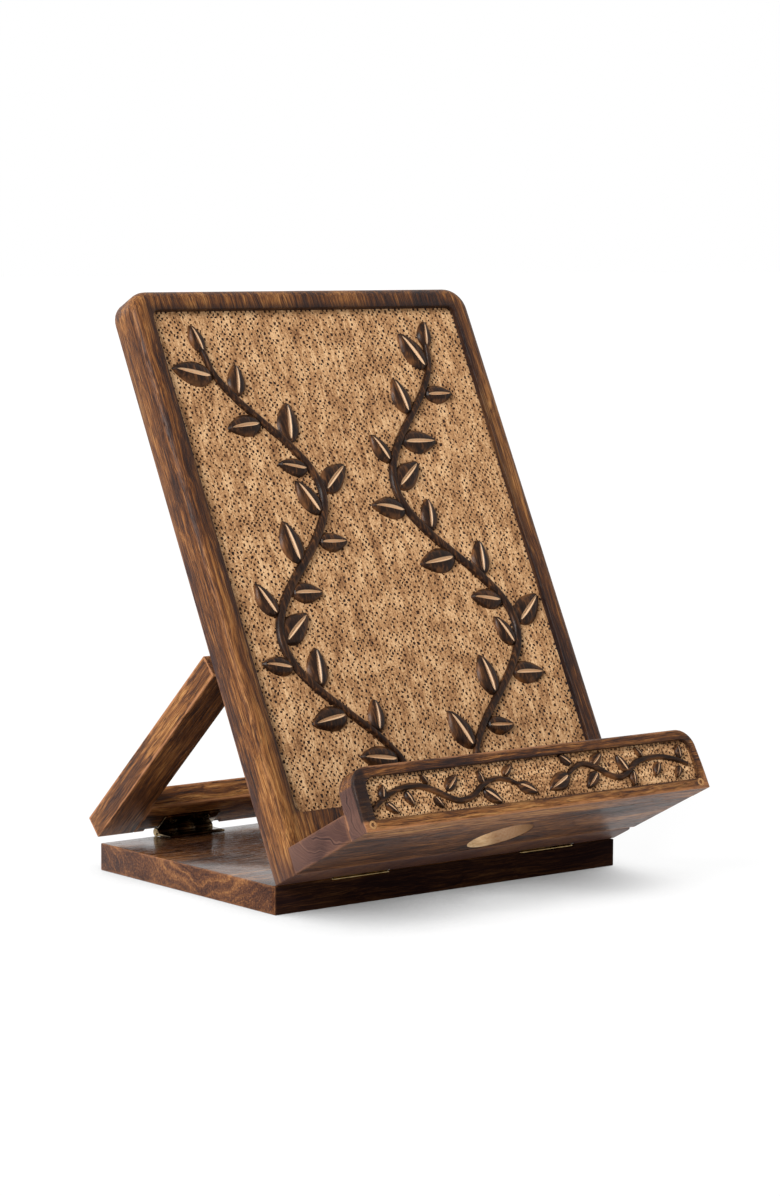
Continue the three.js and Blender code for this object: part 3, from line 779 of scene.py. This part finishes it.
def carved_finish(name, centre, turn, seed):
    look = Finish(name)
    place = look.vector("ADD", look.board_place(centre, turn), (seed * 31.0, seed * 17.0, 0.0))
    raised, slot = look.attribute("raised"), look.attribute("slot")
    pit, shade = look.attribute("pit"), look.attribute("shade")
    fibre = look.grain(place, (0.10, 0.9, 0.9), 3.0, 0.6)
    speck = look.grain(place, (1.3, 1.3, 1.3), 2.0, 0.6)
    patch = look.grain(place, (0.09, 0.16, 0.16), 2.0, 0.6)
    tan = look.sum(look.calc("MULTIPLY", fibre, 0.5), look.calc("MULTIPLY", speck, 0.5),
                   look.calc("MULTIPLY", patch, 0.5), -0.25)
    ground = look.ramp(tan, [(0.30, (0.17, 0.075, 0.032)), (0.48, (0.47, 0.245, 0.108)),
                             (0.66, (0.82, 0.52, 0.275))])
    ground = look.mix(look.spread(shade, 0.30, 0.9, 0.0, 0.75), ground, (0.075, 0.031, 0.013, 1))
    ground = look.mix(look.spread(pit, 0.10, 0.75, 0.0, 0.96), ground, (0.010, 0.005, 0.004, 1))
    dark = look.ramp(look.sum(look.calc("MULTIPLY", fibre, 0.7), look.calc("MULTIPLY", patch, 0.3)),
                     [(0.36, (0.007, 0.003, 0.002)), (0.52, (0.024, 0.010, 0.005)),
                      (0.68, (0.13, 0.052, 0.018))])
    # The flank mark browns each leaf's rim, and one side of each stem as a partly painted
    # highlight.
    brown_rim_and_highlight = look.calc("MULTIPLY", look.attribute("flank"),
                        look.spread(patch, 0.42, 0.64, 0.05, 0.85))
    dark = look.mix(brown_rim_and_highlight, dark, (0.22, 0.090, 0.030, 1))
    dark = look.mix(look.spread(slot, 0.10, 0.42), dark, (0.72, 0.48, 0.29, 1))
    colour = look.mix(look.spread(raised, 0.4, 0.6), ground, dark)
    look.set(Base_Color=colour, Specular_IOR_Level=0.12,
             Roughness=look.spread(raised, 0.0, 1.0, 0.55, 0.34))
    look.bump(look.sum(fibre, speck), 0.00015, 0.6)
    return look.material


def set_in(name, mesh, floor_y, material):
    """Stands a carving in a field whose floor lies at floor_y in the panel's own frame."""
    bmesh.ops.scale(mesh, vec=(MM, MM, MM), verts=mesh.verts)
    bmesh.ops.rotate(mesh, matrix=QUARTER_TURN, verts=mesh.verts)
    bmesh.ops.translate(mesh, vec=(0, floor_y - PROUD, PANEL_FOOT), verts=mesh.verts)
    return finished(name, mesh, material, on_panel, 40)


lip_mesh = carving(LIP_STEMS, LIP_LEAVES, left=-88.2, right=90.7, foot=4.5, top=23.0, width=3.1,
                   height=1.75, cell=0.95, share=0.72, crowd=1, deep=0.55, reach=2.6, seed=5)
lip_carving = set_in("lip_carving", lip_mesh, LIP_FRONT + LIP_FIELD_DEPTH,
                     carved_finish("lip_carved_wood", tuple(lip_middle), lip_turn, 1))
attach(lip_carving, "panel")


def climbing_stem(side, foot, top):
    """A stem that climbs one half of the panel in slow bends, with leaves on both sides."""
    points, leaves = [], []
    for index in range(CLIMB_STEPS + 1):
        t = index / CLIMB_STEPS
        bend = math.sin(math.pi * (CLIMB_BENDS * t - 0.5)) * (1 - 0.15 * t)
        points.append((side * (CLIMB_MIDDLE + CLIMB_SWING * bend), foot + (top - foot) * t))
    for index in range(1, CLIMB_STEPS):
        a, b = Vector(points[index - 1]), Vector(points[index + 1])
        heading = math.degrees(math.atan2(b.y - a.y, b.x - a.x))
        hand = 1 if index % 2 else -1
        outward = math.radians(heading + 90 * hand)
        spot = Vector(points[index]) + Vector((math.cos(outward), math.sin(outward))) * 2.4
        leaves.append((spot.x, spot.y, 17 + 2.5 * math.sin(index * 2.3), heading + 52 * hand))
    last, before = Vector(points[-1]), Vector(points[-2])
    tip = math.degrees(math.atan2(last.y - before.y, last.x - before.x))
    leaves.append((last.x, last.y, 13, tip))
    return points, leaves


panel_finish = carved_finish("panel_carved_wood", tuple(panel_middle), panel_turn, 2)
for side, word in ((-1, "left"), (1, "right")):
    stem, leafage = climbing_stem(side, foot=34, top=236)
    half_field = carving([stem], leafage, left=min(0, side * 84.2), right=max(0, side * 84.2),
                         foot=25.9, top=255.2, width=4.6, height=2.25, cell=1.18, share=0.62,
                         crowd=0, deep=0.7, reach=4.5, seed=10 + side)
    panel_carving = set_in("panel_carving_" + word, half_field, PANEL_FRONT + FIELD_DEPTH,
                           panel_finish)
    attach(panel_carving, "panel")

# ---------------------------------------------------------------- lip dowels
# Two thin dowels driven through the lip into the ledge near its ends. Each shows as a pale
# ring of end grain with a brown, sunken middle, a hair below the face of the lip.
dowel_end = Finish("dowel_end_wood")
where = dowel_end.object_place()
dots = dowel_end.grain(where, (2.6, 0.4, 2.6), 2.0, 0.6)
pale = dowel_end.ramp(dots, [(0.30, (0.22, 0.10, 0.038)), (0.50, (0.42, 0.21, 0.080)),
                             (0.70, (0.56, 0.31, 0.125))])
pale = dowel_end.mix(dowel_end.attribute("sunk"), pale, (0.13, 0.055, 0.020, 1))
dowel_end.set(Base_Color=pale, Roughness=0.5, Specular_IOR_Level=0.3)
dowel_end.bump(dots, 0.0001, 0.6)
for side, word in ((-1, "left"), (1, "right")):
    peg = bmesh.new()
    sunk = peg.verts.layers.float.new("sunk")
    bmesh.ops.create_cone(peg, cap_ends=True, segments=32, radius1=PLUG_RADIUS, radius2=PLUG_RADIUS,
                          depth=PLUG_LENGTH)
    bmesh.ops.rotate(peg, matrix=QUARTER_TURN, verts=peg.verts)
    bmesh.ops.translate(peg, vec=(side * PLUG_X, LIP_FRONT + DRILL_SLACK + PLUG_LENGTH / 2,
                                  PANEL_FOOT + PLUG_RISE), verts=peg.verts)
    cap = min(peg.faces, key=lambda f: f.calc_center_median().y)
    bmesh.ops.inset_region(peg, faces=[cap], thickness=0.0003, depth=0.00005)
    bmesh.ops.inset_region(peg, faces=[cap], thickness=0.00062, depth=0.0)
    bmesh.ops.inset_region(peg, faces=[cap], thickness=0.0001, depth=-0.00035)
    for vert in cap.verts:
        vert[sunk] = 1.0
    lip_dowel = finished("lip_dowel_end_" + word, peg, dowel_end.material, on_panel)
    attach(lip_dowel, "panel")
    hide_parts("lip_dowel_" + word)

# ---------------------------------------------------------------- leg frame
# The prop behind the panel: two stiles with two rails let in between them, glued and dowelled,
# all of the same board. Its foot rail is cut back along its lower edge for the rear hinges.
LEG_TILT = math.radians(47)
LEG_FOOT_RISE = 0.0022
LEG_LENGTH = 0.1184
LEG_FACE = 0.0015
LEG_BACK = 0.012
LEG_FOOT = (LEG_FOOT_RISE - AXIS_RISE - LEG_FACE * math.sin(LEG_TILT)) / math.cos(LEG_TILT)
LEG_TOP = LEG_FOOT + LEG_LENGTH
STILE = 0.019
LEG_NOTCH = 0.041
on_leg = Matrix.Translation(rear_axis) @ Matrix.Rotation(LEG_TILT, 4, "X")


def leg_member(node, name, low, high, along, across, seed, light, tools=()):
    mesh = box_mesh(low, high)
    if tools:
        mesh = cut_away(mesh, tools)
    ease(mesh)
    middle = on_leg @ ((Vector(low) + Vector(high)) / 2)
    size = (Vector(high) - Vector(low)) * 500
    half = (abs(size.dot(Vector(along))), abs(size.dot(Vector(across))), size.y)
    through = Vector(along).cross(Vector(across))
    member = finished(name, mesh, stained_wood(
        name + "_wood", tuple(middle), grain_turn(on_leg, along, across, through), half, seed,
        light=light, rubbed=0.95, pith=(22.0, 30.0)), on_leg)
    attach(member, "leg")
    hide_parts(node)


inner = HALF_WIDTH - STILE
leg_member("leg_left_stile", "left_stile", (-HALF_WIDTH, LEG_FACE, LEG_FOOT),
           (-inner, LEG_BACK, LEG_TOP), (0, 0, 1), (1, 0, 0), 5, 0.07)
leg_member("leg_right_stile", "right_stile", (inner, LEG_FACE, LEG_FOOT),
           (HALF_WIDTH, LEG_BACK, LEG_TOP), (0, 0, 1), (1, 0, 0), 6, 0.0)
reliefs = [box_mesh((centre - LEG_NOTCH / 2, LEG_FACE - 0.01, LEG_FOOT - 0.01),
                    (centre + LEG_NOTCH / 2, LEG_FACE + NOTCH_DEPTH, BARREL_ROOM))
           for centre in HINGE_CENTRES]
leg_member("leg_foot_rail", "foot_rail", (-inner + JOINT, LEG_FACE, LEG_FOOT),
           (inner - JOINT, LEG_BACK, LEG_FOOT + STILE), (1, 0, 0), (0, 0, 1), 7, 0.06, reliefs)
leg_member("leg_top_rail", "top_rail", (-inner + JOINT, LEG_FACE, LEG_TOP - STILE),
           (inner - JOINT, LEG_BACK, LEG_TOP), (1, 0, 0), (0, 0, 1), 8, -0.04)

# ---------------------------------------------------------------- hinges
# Four small butt hinges of pressed, aged brass: two leaves, three knuckles rolled round a pin with
# domed ends. Two under the panel, in a brighter copy of the brass as painted light, and two behind
# the leg, in a darker copy as painted shade.
LEAF_LOW = -0.0013
LEAF_HIGH = -0.0002
LEAF_REACH = 0.011
LEAF_EDGE = 0.0002
BARREL_RADIUS = 0.002
KNUCKLE_GAP = 0.00012
PIN_RADIUS = 0.0009
TOE_FRONT = -0.00225
TOE_BACK = -0.00142
TOE_LOW = -0.00205
TOE_HIGH = -0.00160


def hinge_brass(name, dark, middle, bright, rough):
    brass = Finish(name)
    where = brass.object_place()
    stain = brass.grain(where, (0.16, 0.25, 0.25), 3.0, 0.55)
    scratch = brass.grain(where, (0.15, 3.0, 3.0), 2.0, 0.6)
    shade = brass.sum(brass.calc("MULTIPLY", stain, 0.8), brass.calc("MULTIPLY", scratch, 0.2))
    metal = brass.ramp(shade, [(0.36, dark), (0.52, middle), (0.66, bright)])
    brass.set(Base_Color=metal, Metallic=1.0,
              Roughness=brass.sum(brass.calc("MULTIPLY", stain, 0.3), rough))
    brass.bump(scratch, 0.00002, 0.4)
    return brass.material


# One brass in two copies: brighter for the front hinges as painted light, darker for the rear ones
# as painted shade.
lit_brass = hinge_brass("front_hinge_brass", (0.20, 0.13, 0.06), (0.48, 0.34, 0.15),
                           (0.72, 0.55, 0.28), 0.14)
shaded_brass = hinge_brass("rear_hinge_brass", (0.04, 0.028, 0.02), (0.13, 0.09, 0.05),
                         (0.46, 0.34, 0.17), 0.0)


def rod_along_x(mesh, radius, x0, x1, segments, edge):
    made = bmesh.ops.create_cone(mesh, cap_ends=True, segments=segments, radius1=radius,
                                 radius2=radius, depth=x1 - x0)
    bmesh.ops.rotate(mesh, matrix=Matrix.Rotation(math.radians(90), 3, "Y"), verts=made["verts"])
    bmesh.ops.translate(mesh, vec=((x0 + x1) / 2, 0, 0), verts=made["verts"])
    ends = [e for e in {e for v in made["verts"] for e in v.link_edges}
            if abs(e.verts[0].co.x - e.verts[1].co.x) < 1e-7]
    bmesh.ops.bevel(mesh, geom=ends, offset=edge, segments=3, profile=0.5, affect="EDGES",
                    material=-1)


def hinge_leaf(outer, toe=False):
    """A leaf in its hinge's own frame: the pin along x, the leaf out along y, wood below."""
    mesh = bmesh.new()
    half = HINGE_LENGTH / 2
    pitch = HINGE_LENGTH / 3
    spans = [(-half, -half + pitch - KNUCKLE_GAP), (half - pitch + KNUCKLE_GAP, half)]
    if not outer:
        spans = [(-half + pitch + KNUCKLE_GAP, half - pitch - KNUCKLE_GAP)]
    for x0, x1 in spans:
        rod_along_x(mesh, BARREL_RADIUS, x0, x1, 28, 0.00018)
        take_in(mesh, box_mesh((x0, BARREL_RADIUS * 0.3, LEAF_LOW),
                               (x1, BARREL_ROOM + 0.0004, LEAF_HIGH)))
    plates = [box_mesh((-half, BARREL_ROOM, LEAF_LOW), (half, LEAF_REACH, LEAF_HIGH))]
    if toe:
        plates.append(box_mesh((-half, TOE_FRONT, TOE_LOW), (half, TOE_BACK, TOE_HIGH)))
    for plate in plates:
        ease(plate, LEAF_EDGE)
        take_in(mesh, plate)
    return mesh


def hinge_pin():
    mesh = bmesh.new()
    rod_along_x(mesh, PIN_RADIUS, -HINGE_LENGTH / 2 + 0.0001, HINGE_LENGTH / 2 - 0.0001, 20, 0.0004)
    return mesh


to_base_front = Matrix.Identity(4)
to_base_rear = Matrix.Rotation(math.radians(180), 4, "Z")
to_panel = Matrix(((-1, 0, 0, 0), (0, 0, 1, 0), (0, 1, 0, 0), (0, 0, 0, 1)))
to_leg = Matrix.Rotation(math.radians(90), 4, "X")
rows = [
    ("front", "panel", Matrix.Translation(front_axis), to_base_front, on_panel, to_panel),
    ("rear", "leg", Matrix.Translation(rear_axis), to_base_rear, on_leg, to_leg),
]
for row, board, on_base, base_way, on_board, board_way in rows:
    for centre, side in zip(HINGE_CENTRES, ("left", "right")):
        hinge = f"{row}_hinge_{side}_"
        shift = Matrix.Translation((centre, 0, 0))
        parts = [
            (hinge + "base_leaf", hinge_leaf(True, row == "front"),
             on_base @ shift @ base_way, "base"),
            (hinge + "pin", hinge_pin(), on_base @ shift, "base"),
            (hinge + board + "_leaf", hinge_leaf(False), on_board @ shift @ board_way, board),
        ]
        for node, mesh, turn, body in parts:
            brass = lit_brass if row == "front" else shaded_brass
            metalwork = finished(node + "_brass", mesh, brass, turn)
            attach(metalwork, body)
            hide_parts(node)

# ---------------------------------------------------------------- hinge screws
# Sixteen small countersunk brass screws with a straight slot, two to a leaf. They are driven
# into the wood until their heads lie flush, and no two slots point the same way.
SCREW_HEAD = 0.0019
SCREW_SHANK = 0.001
SCREW_SINK = 0.0009
SCREW_LENGTH = 0.0075
SCREW_SPACING = 0.018
SCREW_REACH = 0.0072
SLOT_HALF_WIDTH = 0.00025
SLOT_DEPTH = 0.0005

screw_brass = Finish("screw_brass_finish")
where = screw_brass.object_place()
dull = screw_brass.grain(where, (1.1, 1.1, 1.1), 3.0, 0.65)
tint = screw_brass.ramp(dull, [(0.34, (0.10, 0.065, 0.03)), (0.52, (0.42, 0.29, 0.12)),
                               (0.70, (0.66, 0.50, 0.24))])
screw_brass.set(Base_Color=tint, Metallic=1.0,
                Roughness=screw_brass.sum(screw_brass.calc("MULTIPLY", dull, 0.4), 0.10))
screw_brass.bump(dull, 0.00005, 0.5)


def screw_mesh(turn):
    """A screw pointing down with its head's face at z = 0, its slot turned by an angle."""
    mesh = bmesh.new()
    head = bmesh.ops.create_cone(mesh, cap_ends=True, segments=24, radius1=SCREW_SHANK,
                                 radius2=SCREW_HEAD, depth=SCREW_SINK)
    bmesh.ops.translate(mesh, vec=(0, 0, -SCREW_SINK / 2), verts=head["verts"])
    for side in (-1, 1):
        tops = [f for f in mesh.faces if f.calc_center_median().z > -1e-6]
        geom = [*tops, *{e for f in tops for e in f.edges}, *{v for f in tops for v in f.verts}]
        bmesh.ops.bisect_plane(mesh, geom=geom, plane_co=(0, side * SLOT_HALF_WIDTH, 0),
                               plane_no=(0, 1, 0))
    slot = min((f for f in mesh.faces if f.calc_center_median().z > -1e-6),
               key=lambda f: abs(f.calc_center_median().y))
    bmesh.ops.inset_region(mesh, faces=[slot], thickness=0.00003, depth=-SLOT_DEPTH)
    shank = bmesh.ops.create_cone(mesh, cap_ends=True, segments=16, radius1=SCREW_SHANK * 0.3,
                                  radius2=SCREW_SHANK, depth=SCREW_LENGTH - SCREW_SINK)
    bmesh.ops.translate(mesh, vec=(0, 0, -(SCREW_LENGTH + SCREW_SINK) / 2), verts=shank["verts"])
    mesh.transform(Matrix.Rotation(turn, 4, "Z"))
    return mesh


slot_angle = random.Random(3)
for row, board, on_base, base_way, on_board, board_way in rows:
    for body, spin, way in (("base", on_base, base_way), (board, on_board, board_way)):
        for centre, side in zip(HINGE_CENTRES, ("left", "right")):
            for index, x in enumerate((-SCREW_SPACING / 2, SCREW_SPACING / 2)):
                node = f"{row}_hinge_{side}_{body}_screw_{index + 1}"
                place = Matrix.Translation((x, SCREW_REACH, LEAF_HIGH + 0.00002))
                turn = spin @ Matrix.Translation((centre, 0, 0)) @ way @ place
                screw = finished(node + "_head", screw_mesh(slot_angle.uniform(0, math.pi)),
                                 screw_brass.material, turn)
                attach(screw, body)
                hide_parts(node)

# ---------------------------------------------------------------- hidden dowels
# Plain turned dowels of pale, unstained wood, glued into the ledge's joint with the panel and
# into the leg's corners. They keep the shapes that they have in the frame.
hidden = Finish("hidden_dowel_wood")
where = hidden.object_place()
fibre = hidden.grain(where, (1.0, 0.15, 1.0), 3.0, 0.6)
plain = hidden.ramp(fibre, [(0.32, (0.36, 0.21, 0.10)), (0.55, (0.55, 0.36, 0.19)),
                            (0.72, (0.66, 0.47, 0.27))])
hidden.set(Base_Color=plain, Roughness=0.6, Specular_IOR_Level=0.25)
hidden.bump(fibre, 0.0002, 0.5)
for name, node in frame["nodes"].items():
    if name.startswith(("ledge_dowel", "leg_dowel")):
        node.data.materials.clear()
        node.data.materials.append(hidden.material)
